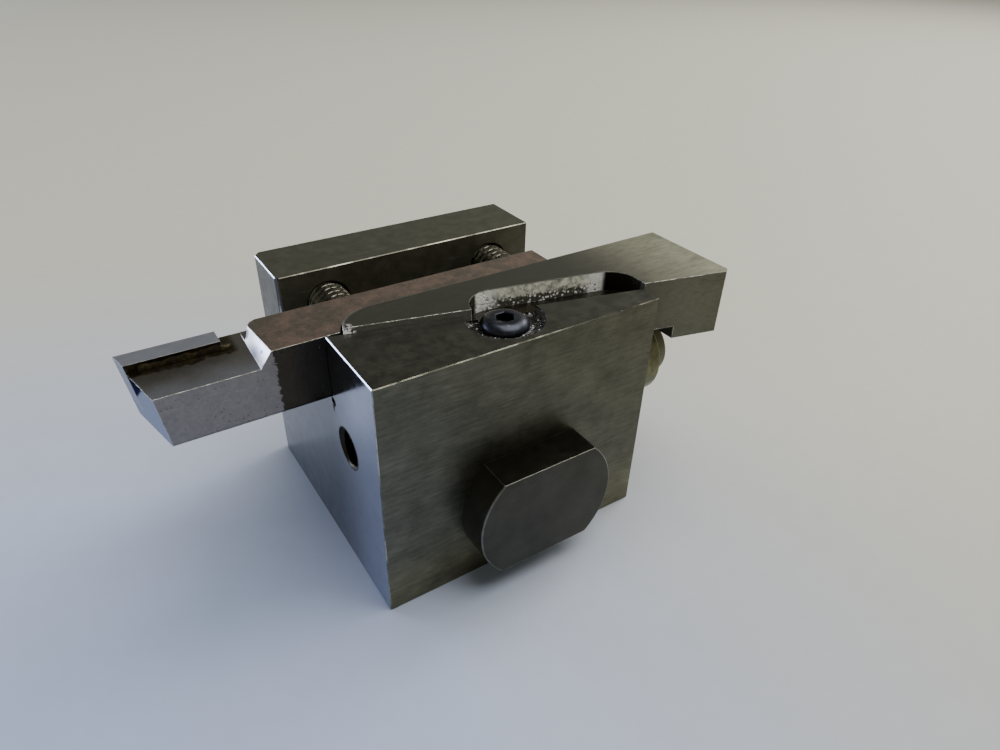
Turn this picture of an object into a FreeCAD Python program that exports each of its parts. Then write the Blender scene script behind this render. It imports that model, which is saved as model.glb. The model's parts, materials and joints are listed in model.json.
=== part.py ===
import FreeCAD, Part

import math
import os

# Wedge-adjusted tool post for a small lathe, with a brazed-carbide turning tool in its channel.
# Millimetres. The post lies on its back, as it is put down on a bench:
#   +X runs along the tool, from the cutting end (left) towards the tail of the height wedge (right),
#   +Y runs from the seating face, which stands on the lathe's cross slide, towards the clamp bar,
#   +Z points out of the open side of the channel.
# The origin is the centre of the flat back that the post lies on.

V = FreeCAD.Vector
INCH = 25.4
X_AXIS = V(1, 0, 0)
Y_AXIS = V(0, 1, 0)
Z_AXIS = V(0, 0, 1)

# ---- driving dimensions -------------------------------------------------------------------------
# Places along X are measured from the body's left face, places along Y from its seating face.

BODY_LENGTH = 1.75 * INCH
BODY_DEPTH = 43.5
BODY_HEIGHT = 1.5 * INCH
EDGE_BREAK = 0.12
BAR_REAR_BREAK = 0.9             # rubbed upright edges at the clamp bar's left end, rear and front
BAR_FRONT_BREAK = 0.4

THREAD_1_4 = 0.125 * INCH        # major radius of a 1/4-20 thread
THREAD_5_16 = 0.15625 * INCH     # and of a 5/16-18 one

TOOL_SIZE = 0.375 * INCH
TOOL_RIGHT = 38.4                # right end of the shank
TOOL_TIP = -23.3                 # cutting corner
TOOL_SLACK = 0.02                # shank to channel floor, and shank to wedge

WALL_LEFT = 13.95                # tapered channel wall behind the seating face, at the left end
WALL_RIGHT = 3.5                 # and at the right end
BAR_THICKNESS = 10.6             # clamp bar behind the channel
GRIND_RELIEF_RADIUS = 0.7        # corner relief at the foot of each channel wall
GRIND_RELIEF_INSET = 0.35        # and how far its centre lies into the wall and the floor

HEAD_DROP_REAR = 1.7             # side relief of the tool's head, at its rear edge
HEAD_DROP_FRONT = 2.15           # and at its front edge
RAMP_BOTTOM = (-8.4, -8.2)       # foot of the ramp from the head up to the shank, front and rear
RAMP_TOP = (-6.85, -7.6)         # and its top
RAMP_CORNER = ((-7.86, 21.12), (-6.96, 22.41), (-6.23, 22.85), (-5.2, 23.6))   # worn rear corner
TOP_EDGE_RADIUS = 0.85           # rear top edge of the shank
FOOT_EDGE_RADIUS = 0.6           # front bottom edge of the shank
END_PLAN_ANGLE = 12.5            # end face of the tool, seen from above
END_RELIEF_ANGLE = 7.0           # and its end relief
RELIEF_FACE = 17.3               # ground flat on the shank that bears on the wedge

CARBIDE_DROP = 0.65
CARBIDE_LENGTH = 12.05
CARBIDE_THICKNESS = 2.88
CARBIDE_WIDTH = 6.35
BRAZE = 0.12

WEDGE_RIGHT = 59.2
WEDGE_PROUD = 0.78
WEDGE_NOSE_RADIUS = 4.5
WEDGE_NOSE_X = 6.8               # centre of the nose radius
NOSE_GAP = 0.3
WEDGE_CORNER = 0.8
POCKET_LEFT = (23.3, 8.95)       # end-mill centres of the pocket in the wedge
POCKET_RIGHT = (40.5, 5.55)
POCKET_RADIUS = 4.3
POCKET_DEPTH = 3.1
NOTCH_LEFT = 46.8                # notch under the wedge that the adjuster's collar pushes
NOTCH_RIGHT = 50.8
NOTCH_HEIGHT = 2.1

ADJUSTER_Y = 9.87                # axis of the height adjuster
ADJUSTER_DROP = 15.3
ADJUSTER_LENGTH = 1.25 * INCH
ADJUSTER_HEAD_RADIUS = 4.8
ADJUSTER_HEAD_LENGTH = 0.125 * INCH
ADJUSTER_HEX = 0.15625 * INCH
ADJUSTER_SOCKET_DEPTH = 1.9
COLLAR_RADIUS = 6.9
COLLAR_LEFT = 47.0
COLLAR_RIGHT = 50.6
COLLAR_RECESS_RADIUS = 7.4
COLLAR_RECESS_DEPTH = 6.5
CLIP_THICKNESS = 0.65
CLIP_RADIUS = 4.6
CLIP_GROOVE_RADIUS = 2.6
CLIP_GAP = 3.6

CLAMP_SCREW_X = (7.65, 36.6)     # two 1/4-20 set screws through the clamp bar
CLAMP_SCREW_DROP = 5.75
CLAMP_SCREW_LENGTH = 0.75 * INCH
CLAMP_SCREW_HEX = 0.125 * INCH
CLAMP_SOCKET_DEPTH = 4.5
CUP_INNER_RADIUS = 1.1           # cup point that bites on the tool
CUP_OUTER_RADIUS = 1.75
CUP_DEPTH = 0.6

RETAINER_AT = (22.4, 6.5)        # button-head screw beside the wedge
RETAINER_BORE_RADIUS = 5.6
RETAINER_BORE_DEPTH = 1.6
RETAINER_HEAD_RADIUS = 3.45
RETAINER_HEAD_HEIGHT = 1.75
RETAINER_THREAD = 1.75
RETAINER_LENGTH = 6.35
RETAINER_RIM = 0.45              # straight part of the head below its dome
RETAINER_CROWN_RADIUS = 1.5      # flat on top of the dome
RETAINER_HEX = 2.4
RETAINER_SOCKET_DEPTH = 1.3

T_BOLT_ACROSS = 22.95            # axis of the clamping bolt, from the left face
T_BOLT_DROP = 25.85              # and below the top
T_HEAD_RADIUS = 11.2
T_HEAD_FLATS = 16.3
T_HEAD_THICKNESS = 5.27
T_NECK_RADIUS = 0.25 * INCH
T_NECK_LENGTH = 12.0
T_BORE_END = 1.0                 # the blind thread stops this far into the head
BOLT_LENGTH = 1.25 * INCH
BOLT_HEAD_RADIUS = 5.95
BOLT_HEAD_HEIGHT = 7.94
BOLT_HEX = 0.25 * INCH
BOLT_SOCKET_DEPTH = 4.2
BOLT_CLEARANCE = 4.2
BOLT_RECESS_RADIUS = 7.2
BOLT_RECESS_DEPTH = 10.4
WASHER_RADIUS = 6.9
WASHER_THICKNESS = 1.6

RUNNING_FIT = 0.05
SHARP = 0.01                     # a corner left sharp
BORE_END_GAP = 0.8               # blind bore past the end of its screw
MOUTH = 0.4                      # countersink on the mouth of a threaded hole
OVERCUT = 2.0                    # how far a cutting tool runs past a face

# ---- derived places, in the part's frame ----------------------------------------------------------

LEFT = -BODY_LENGTH / 2
RIGHT = BODY_LENGTH / 2
FRONT = -BODY_DEPTH / 2
BACK = BODY_DEPTH / 2
TOP = BODY_HEIGHT
FLOOR = TOP - TOOL_SIZE - TOOL_SLACK
BAR_FACE = BACK - BAR_THICKNESS
TOOL_FRONT = FRONT + WALL_LEFT + TOOL_SLACK
TOOL_REAR = TOOL_FRONT + TOOL_SIZE
WALL_SLOPE = (WALL_LEFT - WALL_RIGHT) / BODY_LENGTH
ADJUSTER_Z = TOP - ADJUSTER_DROP
T_BOLT_X = LEFT + T_BOLT_ACROSS
T_BOLT_Z = TOP - T_BOLT_DROP
WEDGE_REAR = FRONT + RELIEF_FACE - TOOL_SLACK
NOSE_CENTRE = V(LEFT + WEDGE_NOSE_X, WEDGE_REAR - WEDGE_NOSE_RADIUS, 0)


def wall_y(x):
    """Y of the tapered channel wall at x."""
    return FRONT + WALL_LEFT - WALL_SLOPE * (x - LEFT)


# ---- small helpers ------------------------------------------------------------------------------

def block(x0, x1, y0, y1, z0, z1):
    return Part.makeBox(x1 - x0, y1 - y0, z1 - z0, V(x0, y0, z0))


def rod(radius, start, axis, length):
    return Part.makeCylinder(radius, length, start, axis)


def cone(radius_start, radius_end, start, axis, length):
    return Part.makeCone(radius_start, radius_end, length, start, axis)


def prism(edges, z0, z1):
    """Solid with the given closed XY outline, from z0 to z1."""
    face = Part.Face(Part.Wire(edges))
    face.translate(V(0, 0, z0))
    return face.extrude(V(0, 0, z1 - z0))


def line(a, b):
    return Part.LineSegment(a, b).toShape()


def arc(centre, radius, start, middle, end):
    """Arc in the XY plane through three angles, in radians."""
    points = [centre + V(radius * math.cos(a), radius * math.sin(a), 0) for a in (start, middle, end)]
    return Part.Arc(*points).toShape()


def hexagon(across_flats, centre, axis, length):
    """Hexagonal prism that starts at centre and runs along axis."""
    radius = across_flats / math.sqrt(3)
    corners = [V(radius * math.cos(a), radius * math.sin(a), 0)
               for a in (math.radians(60 * i) for i in range(7))]
    bar = Part.Face(Part.makePolygon(corners)).extrude(V(0, 0, length))
    bar.Placement = FreeCAD.Placement(centre, FreeCAD.Rotation(Z_AXIS, axis))
    return bar


def revolve(profile, centre, axis):
    """Solid of revolution from (radius, height) points, with its foot at centre, standing along axis."""
    outline = Part.makePolygon([V(r, 0, h) for r, h in profile + profile[:1]])
    solid = Part.Face(outline).revolve(V(0, 0, 0), Z_AXIS, 360)
    solid.Placement = FreeCAD.Placement(centre, FreeCAD.Rotation(Z_AXIS, axis))
    return solid


def turned(radius, length, centre, axis, start_break, end_break):
    """Plain turned bar with a small chamfer on each end."""
    profile = [(0, 0), (radius - start_break, 0), (radius, start_break),
               (radius, length - end_break), (radius - end_break, length), (0, length)]
    return revolve(profile, centre, axis)


# ---- body ---------------------------------------------------------------------------------------

def channel(z0, z1):
    """Open channel: a tapered front wall, and the parallel inner face of the clamp bar."""
    x0, x1 = LEFT - OVERCUT, RIGHT + OVERCUT
    corners = [V(x0, wall_y(x0), 0), V(x1, wall_y(x1), 0), V(x1, BAR_FACE, 0), V(x0, BAR_FACE, 0)]
    return prism([line(a, b) for a, b in zip(corners, corners[1:] + corners[:1])], z0, z1)


def is_floor_corner(edge):
    """True for the inside corners where the channel's walls meet its floor."""
    a, b = (v.Point for v in edge.Vertexes)
    on_floor = abs(a.z - FLOOR) < 0.01 and abs(b.z - FLOOR) < 0.01
    return on_floor and abs(a.x - b.x) > 0.01


def is_upright(edge, x, y):
    """True for an edge that stands along Z at the given x and y."""
    return all(abs(v.X - x) < 0.01 and abs(v.Y - y) < 0.01 for v in edge.Vertexes)


def make_body():
    body = block(LEFT, RIGHT, FRONT, BACK, 0, TOP).cut(channel(FLOOR, TOP + OVERCUT))
    for size, y in ((BAR_REAR_BREAK, BACK), (BAR_FRONT_BREAK, BAR_FACE)):
        body = body.makeChamfer(size, [e for e in body.Edges if is_upright(e, LEFT, y)])
    body = body.makeChamfer(EDGE_BREAK, [e for e in body.Edges if not is_floor_corner(e)])

    # corner relief where the grinding wheel ran out, at the foot of each channel wall
    wall_start = V(LEFT - OVERCUT, wall_y(LEFT - OVERCUT), FLOOR)
    wall_run = V(RIGHT + OVERCUT, wall_y(RIGHT + OVERCUT), FLOOR) - wall_start
    inset = GRIND_RELIEF_INSET
    bar_start = V(LEFT - OVERCUT, BAR_FACE + inset, FLOOR - inset)
    cuts = [rod(GRIND_RELIEF_RADIUS, wall_start + V(0, -inset, -inset), wall_run, wall_run.Length),
            rod(GRIND_RELIEF_RADIUS, bar_start, X_AXIS, BODY_LENGTH + 2 * OVERCUT)]

    # height adjuster: threaded bore right through, and the recess that its collar travels into
    axis_y = FRONT + ADJUSTER_Y
    thread = THREAD_1_4 + RUNNING_FIT
    cuts += [rod(thread, V(LEFT - OVERCUT, axis_y, ADJUSTER_Z), X_AXIS, BODY_LENGTH + 2 * OVERCUT),
             rod(COLLAR_RECESS_RADIUS, V(RIGHT - COLLAR_RECESS_DEPTH, axis_y, ADJUSTER_Z), X_AXIS,
                 COLLAR_RECESS_DEPTH + OVERCUT)]

    # tool clamping screws, through the clamp bar
    for x in CLAMP_SCREW_X:
        at = V(LEFT + x, BAR_FACE - OVERCUT, TOP - CLAMP_SCREW_DROP)
        cuts += [rod(thread, at, Y_AXIS, BAR_THICKNESS + 2 * OVERCUT),
                 cone(thread + MOUTH, thread, V(at.x, BAR_FACE, at.z), Y_AXIS, MOUTH),
                 cone(thread, thread + MOUTH, V(at.x, BACK - MOUTH, at.z), Y_AXIS, MOUTH)]

    # counterbore and thread for the button-head screw beside the wedge
    at = V(LEFT + RETAINER_AT[0], FRONT + RETAINER_AT[1], TOP)
    depth = RETAINER_BORE_DEPTH + RETAINER_LENGTH + BORE_END_GAP
    cuts += [rod(RETAINER_BORE_RADIUS, at + V(0, 0, -RETAINER_BORE_DEPTH), Z_AXIS, 2 * OVERCUT),
             rod(RETAINER_THREAD + RUNNING_FIT, at + V(0, 0, -depth), Z_AXIS, depth)]

    # clamping bolt: bore for the T nut's neck, clearance bore, and the recess for washer and head
    cuts += [rod(T_NECK_RADIUS + RUNNING_FIT, V(T_BOLT_X, FRONT - OVERCUT, T_BOLT_Z), Y_AXIS,
                 OVERCUT + T_NECK_LENGTH + NOSE_GAP),
             rod(BOLT_CLEARANCE, V(T_BOLT_X, FRONT, T_BOLT_Z), Y_AXIS, BODY_DEPTH),
             rod(BOLT_RECESS_RADIUS, V(T_BOLT_X, BACK - BOLT_RECESS_DEPTH, T_BOLT_Z), Y_AXIS,
                 BOLT_RECESS_DEPTH + OVERCUT),
             cone(BOLT_RECESS_RADIUS, BOLT_RECESS_RADIUS + MOUTH,
                  V(T_BOLT_X, BACK - MOUTH, T_BOLT_Z), Y_AXIS, MOUTH)]
    return body.cut(cuts)


# ---- height wedge ---------------------------------------------------------------------------------

def wedge_pocket():
    """End-milled pocket, open to the wedge's front, that clears the button head as the wedge travels."""
    a = V(LEFT + POCKET_LEFT[0], FRONT + POCKET_LEFT[1], 0)
    b = V(LEFT + POCKET_RIGHT[0], FRONT + POCKET_RIGHT[1], 0)
    side = math.atan2(b.y - a.y, b.x - a.x) + math.pi / 2
    left = arc(a, POCKET_RADIUS, math.pi, (math.pi + side) / 2, side)
    right = arc(b, POCKET_RADIUS, side, side / 2, 0)
    open_left = V(a.x - POCKET_RADIUS, FRONT - OVERCUT, 0)
    open_right = V(b.x + POCKET_RADIUS, FRONT - OVERCUT, 0)
    outline = [line(open_left, left.Vertexes[0].Point), left,
               line(left.Vertexes[-1].Point, right.Vertexes[0].Point), right,
               line(right.Vertexes[-1].Point, open_right), line(open_right, open_left)]
    top = TOP + WEDGE_PROUD
    return prism(outline, top - POCKET_DEPTH, top + OVERCUT)


def make_wedge():
    lift = RUNNING_FIT / 2                      # the wedge slides on the wall and the floor

    def front(x):
        return wall_y(x) + lift

    # where the nose radius runs out on the tapered front face
    c, r = NOSE_CENTRE, WEDGE_NOSE_RADIUS
    tip_x = c.x - math.sqrt(r * r - (front(c.x - r) - c.y) ** 2)
    tip = math.atan2(front(tip_x) - c.y, tip_x - c.x)
    nose = arc(c, r, tip, (tip + math.pi / 2) / 2, math.pi / 2)

    right = LEFT + WEDGE_RIGHT
    corners = [nose.Vertexes[-1].Point, V(right, WEDGE_REAR, 0),
               V(right, front(right) + WEDGE_CORNER, 0),
               V(right - WEDGE_CORNER, front(right - WEDGE_CORNER), 0), nose.Vertexes[0].Point]
    outline = [nose] + [line(a, b) for a, b in zip(corners, corners[1:])]
    wedge = prism(outline, FLOOR + lift, TOP + WEDGE_PROUD)
    notch_top = FLOOR + lift + NOTCH_HEIGHT
    notch = block(LEFT + NOTCH_LEFT, LEFT + NOTCH_RIGHT, FRONT - OVERCUT, BACK, FLOOR - OVERCUT, notch_top)
    return wedge.cut([wedge_pocket(), notch])


# ---- turning tool ---------------------------------------------------------------------------------

def end_x(y, z):
    """X of the ground end face of the tool at (y, z)."""
    plan = math.tan(math.radians(END_PLAN_ANGLE)) * (TOOL_REAR - y)
    relief = math.tan(math.radians(END_RELIEF_ANGLE)) * (TOP - CARBIDE_DROP - z)
    return LEFT + TOOL_TIP + plan + relief


def tool_section(y, drop, ramp_bottom, ramp_top):
    """Outline of the shank and head in the XZ plane at y."""
    bottom = TOP - TOOL_SIZE
    head = TOP - drop
    corners = [V(end_x(y, head), y, head), V(LEFT + ramp_bottom, y, head), V(LEFT + ramp_top, y, TOP),
               V(LEFT + TOOL_RIGHT, y, TOP), V(LEFT + TOOL_RIGHT, y, bottom), V(end_x(y, bottom), y, bottom)]
    return Part.makePolygon(corners + corners[:1])


def lies_along(edge, y, z):
    """True for an edge that runs along X at the given y and z."""
    return all(abs(v.Y - y) < 0.01 and abs(v.Z - z) < 0.01 for v in edge.Vertexes)


def shank_blank():
    front = tool_section(TOOL_FRONT, HEAD_DROP_FRONT, RAMP_BOTTOM[0], RAMP_TOP[0])
    rear = tool_section(TOOL_REAR, HEAD_DROP_REAR, RAMP_BOTTOM[1], RAMP_TOP[1])
    blank = Part.makeLoft([front, rear], True, True)
    for radius, y, z in ((TOP_EDGE_RADIUS, TOOL_REAR, TOP), (FOOT_EDGE_RADIUS, TOOL_FRONT, TOP - TOOL_SIZE)):
        blank = blank.makeFillet(radius, [e for e in blank.Edges if lies_along(e, y, z)])
    return blank


def carbide_sides(margin):
    """Right, front and bottom of the carbide tip, each moved outward by margin."""
    right = LEFT + TOOL_TIP + CARBIDE_LENGTH + margin
    front = TOOL_REAR - CARBIDE_THICKNESS - margin
    bottom = TOP - CARBIDE_DROP - CARBIDE_WIDTH - margin
    return right, front, bottom


def carbide_space(margin):
    """Block that clears the carbide tip, open to the left and above."""
    right, front, bottom = carbide_sides(margin)
    return block(LEFT + TOOL_TIP - OVERCUT, right, front, TOOL_REAR, bottom, TOP + OVERCUT)


def ramp_corner():
    """Worn-away corner of the shank at the top rear of the ramp."""
    points = [V(LEFT + x, FRONT + y, 0) for x, y in RAMP_CORNER]
    left, rear = LEFT + RAMP_BOTTOM[1], points[-1].y
    points += [V(left, rear, 0), V(left, points[0].y, 0)]
    outline = [line(a, b) for a, b in zip(points, points[1:] + points[:1])]
    return prism(outline, TOP - HEAD_DROP_REAR, TOP + OVERCUT)


def wedge_relief():
    """Ground-away side of the shank, which gives the wedge its place."""
    radius = WEDGE_NOSE_RADIUS + NOSE_GAP
    face = FRONT + RELIEF_FACE
    c = NOSE_CENTRE

    def angle(y):
        return math.pi - math.asin((y - c.y) / radius)

    low = TOOL_FRONT - OVERCUT / 4
    corner = arc(c, radius, angle(low), angle((low + face) / 2), angle(face))
    right = LEFT + TOOL_RIGHT + OVERCUT
    points = [corner.Vertexes[-1].Point, V(right, face, 0), V(right, low, 0), corner.Vertexes[0].Point]
    return prism([corner] + [line(a, b) for a, b in zip(points, points[1:])], FLOOR - OVERCUT, TOP + OVERCUT)


def make_tool():
    """Shank, carbide tip, and the thin braze between them."""
    blank = shank_blank()
    seat = carbide_space(BRAZE)
    shank = blank.cut([seat, wedge_relief(), ramp_corner()])

    top = TOP - CARBIDE_DROP
    right, front, bottom = carbide_sides(0)
    corners = [V(end_x(front, bottom), front, bottom), V(right, front, bottom),
               V(right, front, top), V(end_x(front, top), front, top)]
    rear = [V(end_x(TOOL_REAR, p.z) if p.x < right else p.x, TOOL_REAR, p.z) for p in corners]
    sections = [Part.makePolygon(c + c[:1]) for c in (corners, rear)]
    carbide = Part.makeLoft(sections, True, True)
    braze = blank.common(seat).cut(carbide_space(0))
    return shank, carbide, braze


# ---- screws -----------------------------------------------------------------------------------------

def make_clamp_screw(x):
    """Cup-point set screw that presses on the rear of the tool."""
    tip = V(LEFT + x, TOOL_REAR + TOOL_SLACK, TOP - CLAMP_SCREW_DROP)
    end_break = 0.5
    profile = [(0, CUP_DEPTH), (CUP_INNER_RADIUS, 0), (CUP_OUTER_RADIUS, 0),
               (THREAD_1_4, THREAD_1_4 - CUP_OUTER_RADIUS),
               (THREAD_1_4, CLAMP_SCREW_LENGTH - end_break),
               (THREAD_1_4 - end_break, CLAMP_SCREW_LENGTH), (0, CLAMP_SCREW_LENGTH)]
    screw = revolve(profile, tip, Y_AXIS)
    socket_foot = tip + V(0, CLAMP_SCREW_LENGTH - CLAMP_SOCKET_DEPTH, 0)
    return screw.cut(hexagon(CLAMP_SCREW_HEX, socket_foot, Y_AXIS, CLAMP_SOCKET_DEPTH + OVERCUT))


def make_retaining_screw():
    """Button-head screw: a domed head on a short threaded shank."""
    seat = V(LEFT + RETAINER_AT[0], FRONT + RETAINER_AT[1], TOP - RETAINER_BORE_DEPTH)
    steps = 8
    fall = RETAINER_HEAD_RADIUS - RETAINER_CROWN_RADIUS
    rise = RETAINER_HEAD_HEIGHT - RETAINER_RIM
    dome = [(RETAINER_CROWN_RADIUS + fall * math.cos(a), RETAINER_RIM + rise * math.sin(a))
            for a in (math.pi / 2 * i / steps for i in range(steps + 1))]
    head = revolve([(0, 0), (RETAINER_HEAD_RADIUS, 0)] + dome + [(0, RETAINER_HEAD_HEIGHT)], seat, Z_AXIS)
    foot = seat + V(0, 0, -RETAINER_LENGTH)
    shank = turned(RETAINER_THREAD, RETAINER_LENGTH, foot, Z_AXIS, 0.3, SHARP)
    socket_foot = seat + V(0, 0, RETAINER_HEAD_HEIGHT - RETAINER_SOCKET_DEPTH)
    socket = hexagon(RETAINER_HEX, socket_foot, Z_AXIS, RETAINER_SOCKET_DEPTH + OVERCUT)
    return head.fuse(shank).removeSplitter().cut(socket)


def clip_groove_x():
    return LEFT + COLLAR_LEFT - RUNNING_FIT - CLIP_THICKNESS


def make_adjuster_screw():
    """Low-head cap screw that carries the collar and drives the wedge."""
    def on_axis(x):
        return V(x, FRONT + ADJUSTER_Y, ADJUSTER_Z)

    under_head = LEFT + COLLAR_RIGHT + RUNNING_FIT
    shank_end = on_axis(under_head - ADJUSTER_LENGTH)
    shank = turned(THREAD_1_4, ADJUSTER_LENGTH, shank_end, X_AXIS, 0.7, SHARP)
    head = turned(ADJUSTER_HEAD_RADIUS, ADJUSTER_HEAD_LENGTH, on_axis(under_head), X_AXIS, 0.05, 0.4)
    width = CLIP_THICKNESS + RUNNING_FIT
    groove = rod(THREAD_1_4 + 1, on_axis(clip_groove_x()), X_AXIS, width)
    groove = groove.cut(rod(CLIP_GROOVE_RADIUS, on_axis(clip_groove_x()), X_AXIS, width))
    socket_foot = on_axis(under_head + ADJUSTER_HEAD_LENGTH - ADJUSTER_SOCKET_DEPTH)
    socket = hexagon(ADJUSTER_HEX, socket_foot, X_AXIS, ADJUSTER_SOCKET_DEPTH + OVERCUT)
    return shank.fuse(head).removeSplitter().cut([groove, socket])


def make_collar():
    """Turned collar, free on the screw, that sits in the wedge's notch."""
    length = COLLAR_RIGHT - COLLAR_LEFT
    start = V(LEFT + COLLAR_LEFT, FRONT + ADJUSTER_Y, ADJUSTER_Z)
    bore = rod(THREAD_1_4 + RUNNING_FIT, start + V(-1, 0, 0), X_AXIS, length + 2)
    return turned(COLLAR_RADIUS, length, start, X_AXIS, 0.35, 0.35).cut(bore)


def make_clip():
    """Snap ring in the screw's groove, which pulls the collar back."""
    start = V(clip_groove_x() + RUNNING_FIT / 2, FRONT + ADJUSTER_Y, ADJUSTER_Z)
    width = CLIP_THICKNESS
    ring = rod(CLIP_RADIUS, start, X_AXIS, width).cut(rod(CLIP_GROOVE_RADIUS, start, X_AXIS, width))
    gap = block(start.x - 1, start.x + width + 1, start.y - CLIP_GAP / 2, start.y + CLIP_GAP / 2,
                start.z - CLIP_RADIUS - 1, start.z)
    return ring.cut(gap)


# ---- clamping bolt and T nut --------------------------------------------------------------------------

def make_t_nut():
    """Round head with two flats for the T slot, and a threaded neck that runs in the body."""
    axis = V(T_BOLT_X, FRONT, T_BOLT_Z)
    front = axis + V(0, -T_HEAD_THICKNESS, 0)
    head = turned(T_HEAD_RADIUS, T_HEAD_THICKNESS, front, Y_AXIS, EDGE_BREAK, SHARP)
    half = T_HEAD_FLATS / 2
    flats = block(axis.x - T_HEAD_RADIUS - 1, axis.x + T_HEAD_RADIUS + 1,
                  FRONT - T_HEAD_THICKNESS - 1, FRONT + 1, T_BOLT_Z - half, T_BOLT_Z + half)
    neck = turned(T_NECK_RADIUS, T_NECK_LENGTH, axis, Y_AXIS, SHARP, EDGE_BREAK)
    bore_foot = axis + V(0, -T_BORE_END, 0)
    thread = rod(THREAD_5_16 + RUNNING_FIT, bore_foot, Y_AXIS, T_BORE_END + T_NECK_LENGTH + OVERCUT)
    return head.common(flats).fuse(neck).removeSplitter().cut(thread)


def bolt_seat():
    return V(T_BOLT_X, BACK - BOLT_RECESS_DEPTH + WASHER_THICKNESS, T_BOLT_Z)


def make_clamp_bolt():
    """Socket-head cap screw that draws the T nut up."""
    seat = bolt_seat()
    shank = turned(THREAD_5_16, BOLT_LENGTH, seat + V(0, -BOLT_LENGTH, 0), Y_AXIS, 0.8, SHARP)
    head = turned(BOLT_HEAD_RADIUS, BOLT_HEAD_HEIGHT, seat, Y_AXIS, 0.1, 0.5)
    socket_foot = seat + V(0, BOLT_HEAD_HEIGHT - BOLT_SOCKET_DEPTH, 0)
    socket = hexagon(BOLT_HEX, socket_foot, Y_AXIS, BOLT_SOCKET_DEPTH + OVERCUT)
    return shank.fuse(head).removeSplitter().cut(socket)


def make_washer():
    start = bolt_seat() + V(0, -WASHER_THICKNESS, 0)
    bore = rod(BOLT_CLEARANCE, start + V(0, -1, 0), Y_AXIS, WASHER_THICKNESS + 2)
    return turned(WASHER_RADIUS, WASHER_THICKNESS, start, Y_AXIS, 0.15, 0.15).cut(bore)


# ---- build ----------------------------------------------------------------------------------------------

def main():
    shank, carbide, braze = make_tool()
    nodes = {
        "tool_post_body": make_body(),
        "height_wedge": make_wedge(),
        "tool_shank": shank,
        "carbide_tip": carbide,
        "braze_seam": braze,
        "clamp_screw_left": make_clamp_screw(CLAMP_SCREW_X[0]),
        "clamp_screw_right": make_clamp_screw(CLAMP_SCREW_X[1]),
        "wedge_retaining_screw": make_retaining_screw(),
        "adjuster_screw": make_adjuster_screw(),
        "adjuster_collar": make_collar(),
        "collar_clip": make_clip(),
        "t_nut": make_t_nut(),
        "clamp_bolt": make_clamp_bolt(),
        "clamp_washer": make_washer(),
    }
    os.makedirs("parts", exist_ok=True)
    for name, shape in nodes.items():
        solids = shape.Solids
        print(name, len(solids), "solid", shape.isValid(), round(shape.Volume, 2))
        Part.makeCompound(solids).exportStep(f"parts/{name}.step")


main()
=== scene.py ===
import json
import math

import bpy
from mathutils import Euler, Matrix, Vector


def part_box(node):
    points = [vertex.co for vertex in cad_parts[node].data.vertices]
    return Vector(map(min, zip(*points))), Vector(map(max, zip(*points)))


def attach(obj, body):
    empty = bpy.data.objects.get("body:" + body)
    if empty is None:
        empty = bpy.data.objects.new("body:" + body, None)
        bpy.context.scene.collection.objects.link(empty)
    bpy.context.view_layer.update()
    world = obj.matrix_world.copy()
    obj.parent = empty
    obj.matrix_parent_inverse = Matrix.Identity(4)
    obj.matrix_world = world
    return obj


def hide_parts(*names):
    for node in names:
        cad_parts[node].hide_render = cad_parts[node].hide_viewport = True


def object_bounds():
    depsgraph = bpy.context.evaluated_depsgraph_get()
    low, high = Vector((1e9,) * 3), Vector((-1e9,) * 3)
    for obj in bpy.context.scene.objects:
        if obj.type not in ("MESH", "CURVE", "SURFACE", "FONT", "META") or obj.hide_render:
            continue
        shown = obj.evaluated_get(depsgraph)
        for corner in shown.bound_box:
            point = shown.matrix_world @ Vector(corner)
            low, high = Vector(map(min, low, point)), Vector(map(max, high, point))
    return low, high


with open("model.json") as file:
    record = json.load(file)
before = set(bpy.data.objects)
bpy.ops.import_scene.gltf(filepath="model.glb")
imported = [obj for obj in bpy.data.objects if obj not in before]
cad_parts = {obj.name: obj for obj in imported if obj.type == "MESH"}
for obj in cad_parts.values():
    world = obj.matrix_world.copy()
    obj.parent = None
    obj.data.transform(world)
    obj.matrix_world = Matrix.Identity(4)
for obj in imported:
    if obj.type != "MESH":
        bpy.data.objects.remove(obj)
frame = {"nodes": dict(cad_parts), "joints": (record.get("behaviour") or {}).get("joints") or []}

# Looks of the wedge-adjusted tool post. Metres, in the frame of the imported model: +X along the
# tool, +Y from the seating face to the clamp bar, +Z out of the open channel.

MM = 0.001
CAD_LOW, CAD_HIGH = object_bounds()

BODY_LOW, BODY_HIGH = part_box("tool_post_body")
WEDGE_LOW, WEDGE_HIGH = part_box("height_wedge")
TOOL_LOW, TOOL_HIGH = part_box("tool_shank")
CARBIDE_LOW, CARBIDE_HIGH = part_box("carbide_tip")
BUTTON_LOW, BUTTON_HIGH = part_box("wedge_retaining_screw")
T_NUT_LOW, T_NUT_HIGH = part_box("t_nut")
COLLAR_LOW, COLLAR_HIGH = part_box("adjuster_collar")

WEDGE_AXIS = next(Vector(j["axis"]) for j in frame["joints"] if j["name"] == "wedge_slide")
WEDGE_SLOPE = -WEDGE_AXIS.y / WEDGE_AXIS.x
WEDGE_CORNER = 0.8 * MM          # from the wedge's right end to where its front wall starts
BAR = 10.6 * MM                  # thickness of the clamp bar
HEAD_RIGHT = BODY_LOW.x - 8.6 * MM      # right end of the tool's ground head, foot of its ramp
RAMP_RIGHT = BODY_LOW.x - 6.6 * MM      # top of that ramp


def wedge_wall_y(x):
    """Y of the tapered channel wall, and of the wedge's front face, at x."""
    return WEDGE_LOW.y - WEDGE_SLOPE * (x - (WEDGE_HIGH.x - WEDGE_CORNER))


# ---- node graphs ---------------------------------------------------------------------------------


def rgb(red, green, blue):
    return red, green, blue, 1.0


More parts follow.
